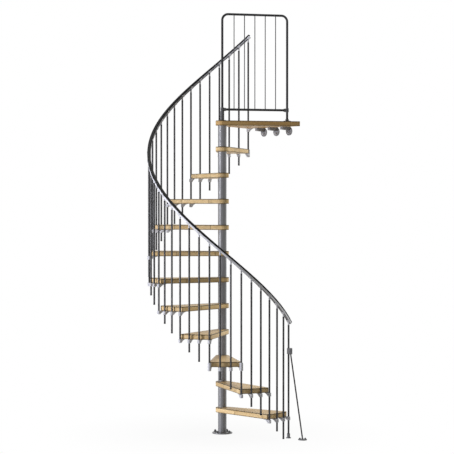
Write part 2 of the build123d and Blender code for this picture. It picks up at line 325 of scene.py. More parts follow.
def makeBeech():
    # stave number from the grain's y, butt joints from its x with a random start, noise drawn out along it
    look = beechLook
    material, tree, shader = newFinish("lacqueredBeech")
    grain = boardValue(tree, "grain", "Vector")
    edgeShade = boardValue(tree, "edgeShade")
    endFace = boardValue(tree, "endFace")
    paintedShadeShare = boardValue(tree, "paintedShadeShare")
    axes = addNode(tree, "ShaderNodeSeparateXYZ", {0: grain}).outputs
    acrossStaves = mathNode(tree, "DIVIDE", axes["Y"], look["staveWidth"])
    stave = mathNode(tree, "FLOOR", acrossStaves)
    staveChance = addNode(tree, "ShaderNodeTexWhiteNoise", {"W": stave}, noise_dimensions="1D").outputs
    alongStaves = mathNode(tree, "DIVIDE", axes["X"], look["staveLength"])
    alongStaves = mathNode(tree, "ADD", alongStaves, staveChance["Value"])
    stavePlace = {0: stave, 1: mathNode(tree, "FLOOR", alongStaves)}
    ownStave = addNode(tree, "ShaderNodeCombineXYZ", stavePlace).outputs[0]
    chance = addNode(tree, "ShaderNodeTexWhiteNoise", {"Vector": ownStave}, noise_dimensions="3D").outputs
    shiftKeys = {0: chance["Color"], "Scale": look["staveShift"]}
    shift = addNode(tree, "ShaderNodeVectorMath", shiftKeys, operation="SCALE").outputs[0]
    ownGrain = addNode(tree, "ShaderNodeVectorMath", {0: grain, 1: shift}, operation="ADD").outputs[0]
    streaks = noiseOn(tree, ownGrain, 1.0, look["streakDetail"], look["streakStretch"])
    fibres = noiseOn(tree, ownGrain, 1.0, look["fibreDetail"], look["fibreStretch"])
    flecks = noiseOn(tree, ownGrain, 1.0, look["fleckDetail"], look["fleckStretch"])
    streakPart = mathNode(tree, "MULTIPLY", streaks, look["streakShare"])
    fibrePart = mathNode(tree, "MULTIPLY", fibres, look["fibreShare"])
    figure = mathNode(tree, "ADD", streakPart, fibrePart)
    colour = mixColour(tree, spread(tree, figure, *look["figureRange"], 0.0, 1.0), look["pale"], look["deep"])
    fleckShare = spread(tree, flecks, *look["fleckRange"], 0.0, look["fleckStrength"])
    colour = mixColour(tree, fleckShare, colour, look["fleck"])
    tone = greyOf(tree, spread(tree, chance["Value"], 0.0, 1.0, *look["staveTones"]))
    colour = mixColour(tree, 1.0, colour, tone, "MULTIPLY")
    # painted shade over the landing: its colour is multiplied by a darker one
    colour = mixColour(tree, paintedShadeShare, colour, look["landingShadeColour"], "MULTIPLY")
    joint = spread(tree, offMiddle(tree, acrossStaves), *look["jointRange"], 0.0, look["glueStrength"])
    butt = spread(tree, offMiddle(tree, alongStaves), *look["buttRange"], 0.0, look["glueStrength"])
    colour = mixColour(tree, mathNode(tree, "MAXIMUM", joint, butt), colour, look["glue"])
    endShare = mathNode(tree, "MULTIPLY", endFace, look["endGrainStrength"])
    colour = mixColour(tree, endShare, colour, look["endGrain"])
    # painted shade: a dark line along the eased edges
    edgeShadeShare = mathNode(tree, "MULTIPLY", edgeShade, look["edgeShadeStrength"])
    colour = mixColour(tree, edgeShadeShare, colour, look["edgeShadeColour"])
    tree.links.new(colour, shader.inputs["Base Color"])
    smoothest = look["rough"] - look["roughBelow"]
    roughest = look["rough"] + look["roughAbove"]
    sheen = spread(tree, fibres, *look["roughRange"], smoothest, roughest)
    endRough = mathNode(tree, "MULTIPLY", endFace, look["endGrainRough"])
    tree.links.new(mathNode(tree, "ADD", sheen, endRough), shader.inputs["Roughness"])
    shader.inputs["Specular IOR Level"].default_value = look["shine"]
    relief = mathNode(tree, "SUBTRACT", fibres, mathNode(tree, "MULTIPLY", joint, look["jointRelief"]))
    addBump(tree, shader, relief, look["bumpStrength"], look["bumpDistance"])
    return material


# metals and mouldings share one recipe: clouded colour, fine pebble, scuffed gloss
metalRecipe = {
    "tint": (0.985, 1.0, 1.055),
    "cloudScale": 14.0,
    "cloudDetail": 4.0,
    "cloudRange": (0.35, 0.65),
    "gritDetail": 2.0,
    "gritRange": (0.55, 0.75),
    "gritStrength": 1.5,
    "scuffScale": 60.0,
    "scuffDetail": 5.0,
    "scuffStretch": (1.0, 1.0, 0.25),
    "scuffRange": (0.3, 0.7),
    "roughBelow": 0.06,
    "roughAbove": 0.08,
    "bumpDistance": 0.0005,
}
metalLooks = {
    "columnPaint": dict(tone=0.175, depth=0.90, rough=0.34, shine=0.9, pebble=500.0, relief=0.03),
    "balusterPaint": dict(tone=0.042, depth=0.80, rough=0.24, shine=0.28, pebble=500.0, relief=0.02),
    "castGrey": dict(tone=0.64, depth=0.78, rough=0.44, shine=0.3, pebble=700.0, relief=0.22),
    "bandAlloy": dict(tone=0.82, depth=0.86, rough=0.42, shine=0.25, pebble=1500.0, relief=0.05),
    "plateGrey": dict(tone=0.29, depth=0.75, rough=0.42, shine=0.4, pebble=800.0, relief=0.10),
    # greys of the handrail's inlay and underside strip: painted shade on the band
    "shadeInlayGrey": dict(tone=0.36, depth=0.80, rough=0.45, shine=0.2, pebble=900.0, relief=0.04),
    "shadeStripGrey": dict(tone=0.22, depth=0.80, rough=0.45, shine=0.2, pebble=900.0, relief=0.04),
    "railBlack": dict(tone=0.012, depth=0.60, rough=0.45, shine=0.1, pebble=1600.0, relief=0.10),
    "guardPaint": dict(tone=0.050, depth=0.80, rough=0.36, shine=0.12, pebble=500.0, relief=0.02),
    "rodGrey": dict(tone=0.11, depth=0.80, rough=0.34, shine=0.2, pebble=500.0, relief=0.02),
    "fixingGrey": dict(tone=0.17, depth=0.70, rough=0.42, shine=0.5, pebble=800.0, relief=0.15),
    "boltSteel": dict(tone=0.11, depth=0.55, rough=0.40, shine=0.4, pebble=1200.0, relief=0.08, metal=0.2),
    "plugBlack": dict(tone=0.012, depth=0.60, rough=0.50, shine=0.2, pebble=1500.0, relief=0.08),
    "poleSteel": dict(tone=0.42, depth=0.78, rough=0.40, shine=0.5, pebble=900.0, relief=0.06, metal=0.8),
}


def makeMetal(name):
    # broad noise runs the colour from pale to deep, fine noise shades and dents it, drawn-out noise scuffs it
    look = metalLooks[name]
    recipe = metalRecipe
    material, tree, shader = newFinish(name)
    place = addNode(tree, "ShaderNodeTexCoord").outputs["Object"]
    clouds = noiseOn(tree, place, recipe["cloudScale"], recipe["cloudDetail"])
    grit = noiseOn(tree, place, look["pebble"], recipe["gritDetail"])
    scuffs = noiseOn(tree, place, recipe["scuffScale"], recipe["scuffDetail"], recipe["scuffStretch"])
    pale = tuple(look["tone"] * part for part in recipe["tint"]) + (1,)
    deep = tuple(part * look["depth"] for part in pale[:3]) + (1,)
    colour = mixColour(tree, spread(tree, clouds, *recipe["cloudRange"], 0.0, 1.0), pale, deep)
    gritShare = spread(tree, grit, *recipe["gritRange"], 0.0, look["relief"] * recipe["gritStrength"])
    colour = mixColour(tree, gritShare, colour, deep)
    tree.links.new(colour, shader.inputs["Base Color"])
    smoothest = look["rough"] - recipe["roughBelow"]
    roughest = look["rough"] + recipe["roughAbove"]
    rough = spread(tree, scuffs, *recipe["scuffRange"], smoothest, roughest)
    tree.links.new(rough, shader.inputs["Roughness"])
    shader.inputs["Metallic"].default_value = look.get("metal", 0.0)
    shader.inputs["Specular IOR Level"].default_value = look["shine"]
    addBump(tree, shader, grit, look["relief"], recipe["bumpDistance"])
    return material


beech = makeBeech()
metals = {name: makeMetal(name) for name in metalLooks}
print("finishes made:", len(metals) + 1)

# wooden boards: treads and landing
boardShape = {
    "overlap": np.radians(0.9),
    "corner": 0.008,
    "ease": 0.004,
    "easeSteps": 5,
    "shade": 0.0055,  # width of the painted shade line past the eased edge
    # painted shade line, ring by ring from the inset ring over the upper eased edge; the lower edge takes it
    # reversed and weaker
    "shadeRows": [0.0, 0.7, 1.0, 1.0, 1.0, 0.85, 0.0],
    "underShade": 0.8,
    "uprightRows": [4, 6, 4],  # rings of the upper edge, the upright face and the lower edge
    "endSharpness": 3,
    "insetLimit": 0.94,  # of the tightest corner's radius
    "faceRings": [0.0, 0.25, 0.6],  # from the bore to the edge
    "exitAngle": np.radians(39.0),
    "exitDistance": 0.596,
    "guardAngle": np.radians(13.70),
    "landingCorner": 0.006,
    "arcSteps": 26,
    "cornerSteps": 7,
    "sideSteps": 8,
    "landingSteps": 16,
    "treadGrain": (0.37, 0.173),  # shift of the staves from one tread to the next
    "landingGrain": (5.1, 2.3),
    # share of the landing's painted shade colour on each board: none on treads, full on the landing
    "treadPaintedShade": 0.0,
    "landingPaintedShade": 1.0,
}


def arcPoints(centre, radius, start, end, steps):
    # centre plus radius times the cosine and sine of even angles
    angle = np.linspace(start, end, steps)
    return centre + radius * np.stack([np.cos(angle), np.sin(angle)], -1)


def roundCorner(before, corner, after, radius, steps):
    # arc that touches both sides: its centre is on the halving line, radius over the half angle's sine away
    inward = (before - corner) / np.linalg.norm(before - corner)
    outward = (after - corner) / np.linalg.norm(after - corner)
    halfAngle = np.arccos(np.dot(inward, outward)) / 2
    centre = corner + (inward + outward) / np.linalg.norm(inward + outward) * radius / np.sin(halfAngle)
    first = corner + inward * radius / np.tan(halfAngle) - centre
    last = corner + outward * radius / np.tan(halfAngle) - centre
    start = bearingOf(first)
    sweep = (bearingOf(last) - start + np.pi) % fullTurn - np.pi
    return arcPoints(centre, radius, start, start + sweep, steps)


def hubTouch(corner, side):
    # point where the line from a corner grazes the hub circle
    reach = np.linalg.norm(corner)
    lean = bearingOf(corner) + side * np.arccos(stair["hubRadius"] / reach)
    return polarPoint(stair["hubRadius"], lean)


def boardOutline(rim, frontRadius, rearRadius):
    # clockwise plan of a board: front side, front corner, rim, rear corner, rear side and back round the hub
    steps = boardShape["cornerSteps"]
    frontTouch = hubTouch(rim[0], 1)
    rearTouch = hubTouch(rim[-1], -1)
    frontArc = roundCorner(frontTouch, rim[0], rim[1], frontRadius, steps)
    rearArc = roundCorner(rim[-2], rim[-1], rearTouch, rearRadius, steps)
    start = bearingOf(rearTouch)
    sweep = -((start - bearingOf(frontTouch)) % fullTurn)
    hub = arcPoints(np.zeros(2), stair["hubRadius"], start, start + sweep, boardShape["arcSteps"])
    side = np.linspace(0, 1, boardShape["sideSteps"])[1:-1, None]
    frontSide = frontTouch + (frontArc[0] - frontTouch) * side
    rearSide = rearArc[-1] + (rearTouch - rearArc[-1]) * side
    return np.concatenate([frontSide, frontArc, rim[2:-2], rearArc, rearSide, hub])


def boardSurface(outline, low, grainAngle, grainShift, tightest, paintedShade):
    # plan inset along its normals while the height runs over two eased edges, closed round the pole's bore
    high = low + stair["boardThickness"]
    ease, shade = boardShape["ease"], boardShape["shade"]
    edge = np.roll(outline, -1, 0) - np.roll(outline, 1, 0)
    normal = np.stack([-edge[:, 1], edge[:, 0]], -1) / np.linalg.norm(edge, axis=1, keepdims=True)
    turn = np.linspace(0, np.pi / 2, boardShape["easeSteps"])
    widest = min(ease + shade, boardShape["insetLimit"] * tightest)
    inset = np.concatenate([[widest], ease * (1 - np.sin(turn)), [0.0]])
    fall = np.concatenate([[0.0], ease * (1 - np.cos(turn)), [ease + shade]])
    rings = outline[None] - normal[None] * np.concatenate([inset, inset[::-1]])[:, None, None]
    bearing = bearingOf(outline.T)
    bore = stair["poleBore"] * np.stack([np.cos(bearing), np.sin(bearing)], -1)
    part = np.array(boardShape["faceRings"])
    topRings = bore + (rings[0] - bore) * part[:, None, None]
    lowRings = (bore + (rings[-1] - bore) * part[:, None, None])[::-1]
    plan = np.concatenate([topRings, rings, lowRings])
    level = np.concatenate([np.full(len(part), high), high - fall, low + fall[::-1], np.full(len(part), low)])
    points = np.concatenate([plan, np.broadcast_to(level[:, None, None], plan.shape[:2] + (1,))], -1)
    along = polarPoint(1, grainAngle)
    across = np.array([-along[1], along[0]])
    grain = np.stack([plan @ along + grainShift[0], plan @ across + grainShift[1], points[..., 2]], -1)
    rest = np.zeros(len(part))
    # painted shade along the eased edges, weaker on the lower one, carried as a point value
    dark = np.array(boardShape["shadeRows"])
    edgeShade = np.repeat(np.concatenate([rest, dark, dark[::-1] * boardShape["underShade"], rest]), len(outline))
    upright = np.concatenate([rest, np.repeat([0, 1, 0], boardShape["uprightRows"]), rest])
    endFace = upright[:, None] * np.abs(normal @ along)[None] ** boardShape["endSharpness"]
    row = np.arange(len(plan))
    flat = np.repeat((row <= len(part)) | (row >= len(plan) - len(part) - 1), len(outline))
    labels = [
        ("grain", "FLOAT_VECTOR", grain),
        ("edgeShade", "FLOAT", edgeShade),
        ("endFace", "FLOAT", endFace),
        # painted shade share, the same at every point of the board
        ("paintedShadeShare", "FLOAT", np.full(edgeShade.shape, paintedShade)),
    ]
    return surface(points[None], closedRows=True), flat, labels


def addBoard(name, replaced, *shapeValues):
    # one board in beech, in the place of its solid
    part, flat, labels = boardSurface(*shapeValues)
    addPiece(name, [part], beech, [replaced], flat, labels)


corner = boardShape["corner"]
for number in range(1, stair["treadCount"] + 1):
    front = seatAngle(stair["seatsPerTread"] * (number - 1)) + boardShape["overlap"]
    rear = seatAngle(stair["seatsPerTread"] * number) - boardShape["overlap"]
    rim = arcPoints(np.zeros(2), stair["treadLength"], front, rear, boardShape["arcSteps"])
    outline = boardOutline(rim, corner, corner)
    low = stair["rise"] * number - stair["boardThickness"]
    middle = (front + rear) / 2
    shift = [part * number for part in boardShape["treadGrain"]]
    woodValues = (outline, low, middle, shift, corner, boardShape["treadPaintedShade"])
    addBoard(f"treadBoard{number:02d}", f"tread_{number:02d}", *woodValues)

# the landing's plan: the rim's arc up to the straight exit edge, then that edge to the guarded side
landingCorner = boardShape["landingCorner"]
exitNormal = polarPoint(1, boardShape["exitAngle"])
exitAlong = polarPoint(1, boardShape["exitAngle"] + np.pi / 2)
guardAlong = polarPoint(1, boardShape["guardAngle"])
guardTouch = polarPoint(stair["hubRadius"], boardShape["guardAngle"] - np.pi / 2)
guardSide = (boardShape["exitDistance"] - guardTouch @ exitNormal) / (guardAlong @ exitNormal)
landingFront = seatAngle(seatCount - 1) + boardShape["overlap"] + fullTurn
chord = np.sqrt(stair["treadLength"] ** 2 - boardShape["exitDistance"] ** 2)
meeting = exitNormal * boardShape["exitDistance"] + exitAlong * chord
rearCorner = guardTouch + guardAlong * guardSide
steps = boardShape["landingSteps"]
arc = arcPoints(np.zeros(2), stair["treadLength"], landingFront, bearingOf(meeting), steps)
straight = meeting + (rearCorner - meeting) * np.linspace(0, 1, steps)[1:, None]
outline = boardOutline(np.concatenate([arc, straight]), corner, landingCorner)
woodValues = (outline, landingUnder, boardShape["guardAngle"], boardShape["landingGrain"], landingCorner)
addBoard("landingBoard", "landing", *woodValues, boardShape["landingPaintedShade"])
print("boards laid:", stair["treadCount"] + 1)

# handrail: black cap on a metal band, and painted shade on the band: a grey strip let into its underside,
# a black bead along its lower inner edge and a grey inlay on its inner face, darker where shade falls
railShape = {
    "capWidth": 0.028,
    "capHeight": 0.014,
    "capCorner": 0.009,
    "capLowCorner": 0.001,
    "capCornerSteps": 7,
    "capCrease": np.radians(50),
    "tipDepth": 0.007,
    "tipSteps": 6,
    "footTurn": np.radians(3.9),
    "headTurn": np.radians(1.6),
    "bandWidth": 0.025,
    "bandHeight": 0.016,
    "bandCorner": 0.003,
    "bandCornerSteps": 5,
    "bandGap": 0.00025,
    "bandSetback": np.radians(0.6),
    "bandTip": 0.002,
    "bandTipSteps": 4,
    "trimSetback": 1.5,  # times the band's own setback
    "trimTip": 0.001,
    "trimTipSteps": 3,
    "trimCornerSteps": 3,
    # painted shade pieces on the band: underside strip, inner bead and inner inlay
    "shadeStripWidth": 0.019,
    "shadeStripHeight": 0.003,
    "shadeStripCorner": 0.0008,
    "shadeStripProud": 0.0006,
    "shadeBeadRadius": 0.0024,
    "shadeBeadSides": 10,
    "shadeBeadInset": 0.0008,
    "shadeBeadLift": 0.0012,
    "shadeInlayHeight": 0.0125,
    "shadeInlayDepth": 0.0012,
    "shadeInlayCorner": 0.0003,
    "shadeInlayProud": 0.0003,
    "stepsPerSeat": 12,
}


def railPath(setback, depth):
    # left-hand helix: the angle falls evenly as the height climbs, with its outward and up-across axes
    cut = setback + depth / stair["seatRadius"]
    first = -(railShape["footTurn"] - cut) / seatTurn
    last = seatCount - 1 + (railShape["headTurn"] - cut) / seatTurn
    position = np.linspace(first, last, (seatCount - 1) * railShape["stepsPerSeat"])
    path = seatPlace(position, stair["railRise"] + seatRise * position)
    angle = seatAngle(position)
    outward = np.stack([np.cos(angle), np.sin(angle), np.zeros_like(angle)], -1)
    along = np.gradient(path, axis=0)
    upAcross = np.cross(along, outward)
    upAcross = upAcross / np.linalg.norm(upAcross, axis=1, keepdims=True)
    return path, outward, upAcross * np.sign(upAcross[:, 2:])


def windSection(section, setback, depth, steps):
    # section carried up the helix between two domed ends of the given depth
    return surface(carry(section, *railPath(setback, depth), depth, steps))


def windShadeTrim(section):
    # painted shade trim winds with the band and stops a little short of its ends
    setback = railShape["bandSetback"] * railShape["trimSetback"]
    return windSection(section, setback, railShape["trimTip"], railShape["trimTipSteps"])


shape = railShape
capRadii = [shape["capCorner"], shape["capCorner"], shape["capLowCorner"], shape["capLowCorner"]]
capSection = roundedLoop(shape["capWidth"], shape["capHeight"], capRadii, shape["capCornerSteps"])
capSection[:, 1] += shape["capHeight"] / 2
cap = windSection(capSection, 0.0, shape["tipDepth"], shape["tipSteps"])
addPiece("handrailCap", [cap], metals["railBlack"], ["handrail"], crease=shape["capCrease"])
bandRadii = [shape["bandCorner"]] * 4
bandSection = roundedLoop(shape["bandWidth"], shape["bandHeight"], bandRadii, shape["bandCornerSteps"])
bandMiddle = -shape["bandGap"] - shape["bandHeight"] / 2
bandLow = bandMiddle - shape["bandHeight"] / 2
bandInner = -shape["bandWidth"] / 2
bandSection[:, 1] += bandMiddle
band = windSection(bandSection, shape["bandSetback"], shape["bandTip"], shape["bandTipSteps"])
addPiece("railBand", [band], metals["bandAlloy"], ["rail_band"])
shadeStripRadii = [shape["shadeStripCorner"]] * 4
shadeStripSection = roundedLoop(shape["shadeStripWidth"], shape["shadeStripHeight"], shadeStripRadii, shape["trimCornerSteps"])
shadeStripSection[:, 1] += bandLow + shape["shadeStripHeight"] / 2 - shape["shadeStripProud"]
shadeBeadSection = circleLoop(shape["shadeBeadRadius"], shape["shadeBeadSides"])
shadeBeadSection += [bandInner + shape["shadeBeadInset"], bandLow + shape["shadeBeadLift"]]
shadeInlayRadii = [shape["shadeInlayCorner"]] * 4
shadeInlaySection = roundedLoop(shape["shadeInlayDepth"], shape["shadeInlayHeight"], shadeInlayRadii, shape["trimCornerSteps"])
shadeInlaySection += [bandInner + shape["shadeInlayDepth"] / 2 - shape["shadeInlayProud"], bandMiddle]
# painted shade: bead, strip and inlay, darker than the band where shade falls
addPiece("railShadeBead", [windShadeTrim(shadeBeadSection)], metals["railBlack"])
addPiece("railShadeStrip", [windShadeTrim(shadeStripSection)], metals["shadeStripGrey"])
addPiece("railShadeInlay", [windShadeTrim(shadeInlaySection)], metals["shadeInlayGrey"])
print("handrail wound")

# balusters with black plugs at both ends
rodShape = {
    "radius": 0.008,
    "chamfer": 0.0008,
    "sides": 24,
    "crease": np.radians(30),
    "footGap": 0.006,
    "plugRadius": 0.0083,
    "plugLength": 0.009,
    "plugChamfer": 0.0015,
    "plugSides": 20,
    "plugCrease": np.radians(35),
    "topPlugDrop": 0.0002,
    "footPlugReach": 0.0008,
    "groupSize": 9,
    "groups": 4,
}


def rodProfile(radius, low, high, chamfer):
    # rows of (radius, height) from the axis at the foot, over two chamfers, to the axis at the top
    inner = radius - chamfer
    lower = [[0, low], [inner, low], [radius, low + chamfer]]
    upper = [[radius, high - chamfer], [inner, high], [0, high]]
    return np.array(lower + upper)


def plugsAt(indices, low, high):
    # one chamfered plug on each baluster, its ends given from that baluster's own step of the helix
    profile = rodProfile(rodShape["plugRadius"], low, high, rodShape["plugChamfer"])
    return surface(lathe(profile, seatPlace(indices, seatRise * indices), rodShape["plugSides"]))


rodTop = stair["railRise"] - stair["neckDrop"]
rodFoot = -stair["boardThickness"] - stair["socketDepth"]
rodGroups = [("firstBaluster", "first_baluster", np.array([0]))]
for group in range(rodShape["groups"]):
    first = 1 + group * rodShape["groupSize"]
    end = min(first + rodShape["groupSize"], seatCount)
    rodGroups.append((f"balusters{group + 1}", f"balusters_{group + 1}", np.arange(first, end)))
for name, node, indices in rodGroups:
    foot = rodFoot if indices[0] else rodShape["footGap"]
    profile = rodProfile(rodShape["radius"], foot, rodTop, rodShape["chamfer"])
    rods = surface(lathe(profile, seatPlace(indices, seatRise * indices), rodShape["sides"]))
    addPiece(name, [rods], metals["balusterPaint"], [node], crease=rodShape["crease"])
everySeat = np.arange(seatCount)
footPlugTop = rodFoot + rodShape["plugLength"]
plugParts = [
    plugsAt(everySeat, rodTop - rodShape["plugLength"], rodTop - rodShape["topPlugDrop"]),
    plugsAt(everySeat[2:], rodFoot - rodShape["footPlugReach"], footPlugTop),
    plugsAt(everySeat[1:2], rodFoot, footPlugTop),  # this one stands close over the floor, so it ends level
]
addPiece("balusterPlugs", plugParts, metals["plugBlack"], crease=rodShape["plugCrease"])
print("balusters stood:", seatCount)

# column sleeves between the boards
columnShape = {
    "radius": 0.03675,
    "start": 0.040,
    "chamfer": 0.0012,
    "sides": 64,
    "crease": np.radians(30),
}
columnParts = []
low = columnShape["start"]
for step in range(1, stair["treadCount"] + 2):
    high = stair["rise"] * step - stair["boardThickness"]
    profile = rodProfile(columnShape["radius"], low, high, columnShape["chamfer"])
    columnParts.append(surface(lathe(profile, np.zeros(3), columnShape["sides"])))
    low = stair["rise"] * step
crease = columnShape["crease"]
paint = metals["columnPaint"]
addPiece("columnSleeves", columnParts, paint, ["column_sleeves"], crease=crease)
print("column stacked")

# cast brackets: a socket round the baluster and a hollowed arm screwed to the wood above
bracketShape = {
    "socketRadius": 0.015,
    "socketSides": 28,
    "boreRadius": 0.00825,
    "lip": 0.0032,
    "lipSteps": 5,
    "armStart": 0.0095,
    "armSink": 0.0012,
    "armLength": 0.070,
    "armHalf": 0.014,
    "armRows": 10,
    "tipRows": 7,
    "underColumns": 15,
    "faceColumns": 4,
    "rootDepth": 0.027,
    "tipDepth": 0.005,
    "hollow": 0.0086,
    "squareness": 0.5,
    "crease": np.radians(48),
    "collarHeight": 0.038,
    "collared": [(3, 6), (3, 9), (11, 33)],  # tread and seat
    "landingYaw": np.radians(52.0),
    "screwAt": [0.040, 0.058],
    "screwRadius": 0.0042,
    "screwSink": 0.0006,
    "screwWidths": [0, 0.5, 0.85, 1.0, 1.0, 0],  # times the screw's radius, from the dome's top down
    "screwHeights": [-0.0030, -0.0027, -0.0017, 0.0, 0.0012, 0.0012],
    "screwSides": 12,
    "screwCrease": np.radians(50),
}


def armDepth(x):
    # depth under the wood: level at the socket, then a straight fall to the tip less a parabola
    shape = bracketShape
    t = np.clip((x - shape["socketRadius"]) / (shape["armLength"] - shape["socketRadius"]), 0, 1)
    fall = (shape["tipDepth"] - shape["rootDepth"]) * t
    return shape["rootDepth"] + fall - shape["hollow"] * 4 * t * (1 - t)


def bracketArm():
    # rows along the arm, columns round it: a squared half ellipse below, a flat face above, a half-round tip
    shape = bracketShape
    tip = np.linspace(0, np.pi / 2, shape["tipRows"])[1:]
    shoulder = shape["armLength"] - shape["armHalf"]
    straight = np.linspace(shape["armStart"], shoulder, shape["armRows"])
    x = np.concatenate([straight, shoulder + shape["armHalf"] * np.sin(tip)])
    half = np.concatenate([np.full(shape["armRows"], shape["armHalf"]), shape["armHalf"] * np.cos(tip)])
    below = np.linspace(0, np.pi, shape["underColumns"])
    side = np.sign(np.cos(below)) * np.abs(np.cos(below)) ** shape["squareness"]
    drop = np.abs(np.sin(below)) ** shape["squareness"]
    face = np.linspace(-1, 1, shape["faceColumns"] + 2)[1:-1]
    y = half[:, None] * np.concatenate([side, face])[None]
    sink = shape["armSink"] * (x < shape["socketRadius"])  # keeps the top below the socket's lip
    z = -sink[:, None] - (armDepth(x) - sink)[:, None] * np.concatenate([drop, np.zeros_like(face)])[None]
    points = np.stack([np.broadcast_to(x[:, None], y.shape), y, z], -1)
    start = points[:1].mean(1, keepdims=True) + np.zeros_like(points[:1])
    return np.concatenate([start, points])


def bracketSocket(top):
    # closed profile turned about the baluster: bore, rounded foot, wall, rounded lip
    shape = bracketShape
    lip, low = shape["lip"], -stair["socketDepth"]
    turn = np.linspace(0, np.pi / 2, shape["lipSteps"])
    inner = shape["socketRadius"] - lip
    foot = np.stack([inner + lip * np.sin(turn), low + lip * (1 - np.cos(turn))], -1)
    head = np.stack([inner + lip * np.cos(turn), top - lip * (1 - np.sin(turn))], -1)
    bore = np.array([[shape["boreRadius"], top], [shape["boreRadius"], low]])
    return np.concatenate([foot, head, bore])


def addBrackets(name, indices, level, collared, yaw, node):
    # every bracket is the one shape, turned to face the column and set on its baluster's axis
    shape = bracketShape
    turns = turnAboutZ(seatAngle(indices) + np.pi + yaw)
    places = seatPlace(indices, level)
    arms = np.einsum("nij,rcj->nrci", turns, bracketArm()) + places[:, None, None, :]
    parts = [surface(arms)]
    plain = np.array([index not in collared for index in indices])
    for chosen, top in ((plain, 0.0), (~plain, shape["collarHeight"])):
        if chosen.any():
            sockets = lathe(bracketSocket(top), places[chosen], shape["socketSides"])
            parts.append(surface(sockets, closedRows=True))
    addPiece(name, parts, metals["castGrey"], [node], crease=shape["crease"])
    along = np.array(shape["screwAt"])
    spots = np.stack([along, np.zeros_like(along), shape["screwSink"] - armDepth(along)], -1)
    return (np.einsum("nij,kj->nki", turns, spots) + places[:, None, :]).reshape(-1, 3)


shape = bracketShape
screwSpots = []
for number in range(1, stair["treadCount"] + 1):
    first = stair["seatsPerTread"] * (number - 1)
    indices = np.arange(first, first + stair["seatsPerTread"] + 1)
    collared = [seat for tread, seat in shape["collared"] if tread == number]
    level = stair["rise"] * number - stair["boardThickness"]
    name, node = f"bracketSet{number:02d}", f"brackets_{number:02d}"
    screwSpots.append(addBrackets(name, indices, level, collared, 0.0, node))
last = np.array([seatCount - 1])
lastSpots = addBrackets("landingBracket", last, landingUnder, [], shape["landingYaw"], "landing_bracket")
screwSpots.append(lastSpots)
dome = np.stack([np.array(shape["screwWidths"]) * shape["screwRadius"], shape["screwHeights"]], -1)
screws = surface(lathe(dome, np.concatenate(screwSpots), shape["screwSides"]))
addPiece("bracketScrews", [screws], metals["boltSteel"], crease=shape["screwCrease"])
print("brackets fixed")

# guard rail of the landing: bent tube, lower rail and rods, in the upright plane along the guarded side
guardShape = {
    "postSetback": 0.1048,  # from the landing's rear corner to the far post
    "start": 0.005,
    "height": 0.918,
    "tubeRadius": 0.010,
    "tubeSides": 22,
    "bend": 0.052,
    "bendSteps": 12,
    "postSteps": 14,
    "topSteps": 12,
    "lowerHeight": 0.097,
    "lowerGap": 0.0105,
    "lowerSteps": 8,
    "rodCount": 5,
    "rodSpacing": 0.093,
    "rodRadius": 0.004,
    "rodChamfer": 0.0003,
    "rodSides": 16,
    "rodGap": 0.00025,
    "crease": np.radians(50),
}
guardX = np.array([guardAlong[0], guardAlong[1], 0.0])
guardY = np.cross(upwards, guardX)


def guardPoint(along, height):
    # distance along the guarded side from the column's axis, and height over the landing
    return np.multiply.outer(along, guardX) + np.multiply.outer(np.asarray(height) + landingTop, upwards)


def tubeAlong(along, height):
    # circle carried along a path in the guard's plane: one axis square to the plane, the other to the path
    path = guardPoint(along, height)
    heading = np.gradient(path, axis=0)
    heading = heading / np.linalg.norm(heading, axis=1, keepdims=True)
    square = np.broadcast_to(guardY, path.shape)
    section = circleLoop(guardShape["tubeRadius"], guardShape["tubeSides"])
    return surface(carry(section, path, square, np.cross(heading, square), 0.0, 2))


shape = guardShape
crease = shape["crease"]
bend, postSteps, topSteps = shape["bend"], shape["postSteps"], shape["topSteps"]
span = guardSide - shape["postSetback"]
shoulder = shape["height"] - bend
quarter = np.linspace(0, np.pi / 2, shape["bendSteps"])
left = np.stack([bend - bend * np.cos(quarter), shoulder + bend * np.sin(quarter)], -1)
right = np.stack([span - left[::-1, 0], left[::-1, 1]], -1)
rise = np.stack([np.zeros(postSteps), np.linspace(shape["start"], shoulder, postSteps)], -1)[:-1]
level = np.stack([np.linspace(bend, span - bend, topSteps), np.full(topSteps, shape["height"])], -1)[1:-1]
drop = np.stack([np.full(postSteps, span), np.linspace(shoulder, 0.0, postSteps)], -1)[1:]
bent = np.concatenate([rise, left, level, right, drop])
tube = tubeAlong(bent[:, 0], bent[:, 1])
addPiece("guardFrame", [tube], metals["guardPaint"], ["landing_rail_frame"], crease=crease)
lowerAlong = np.linspace(shape["lowerGap"], span - shape["lowerGap"], shape["lowerSteps"])
lower = tubeAlong(lowerAlong, np.full(shape["lowerSteps"], shape["lowerHeight"]))
addPiece("guardLowerRail", [lower], metals["guardPaint"], ["landing_lower_rail"], crease=crease)
rodLow = shape["lowerHeight"] + shape["tubeRadius"] + shape["rodGap"]
rodHigh = shape["height"] - shape["tubeRadius"] - shape["rodGap"]
fromMiddle = np.arange(shape["rodCount"]) - (shape["rodCount"] - 1) / 2
rodPlaces = guardPoint(span / 2 + fromMiddle * shape["rodSpacing"], np.zeros(shape["rodCount"]))
profile = rodProfile(shape["rodRadius"], rodLow, rodHigh, shape["rodChamfer"])
rods = surface(lathe(profile, rodPlaces, shape["rodSides"]))
addPiece("guardRods", [rods], metals["rodGrey"], ["landing_rods"], crease=crease)
print("guard rail bent")

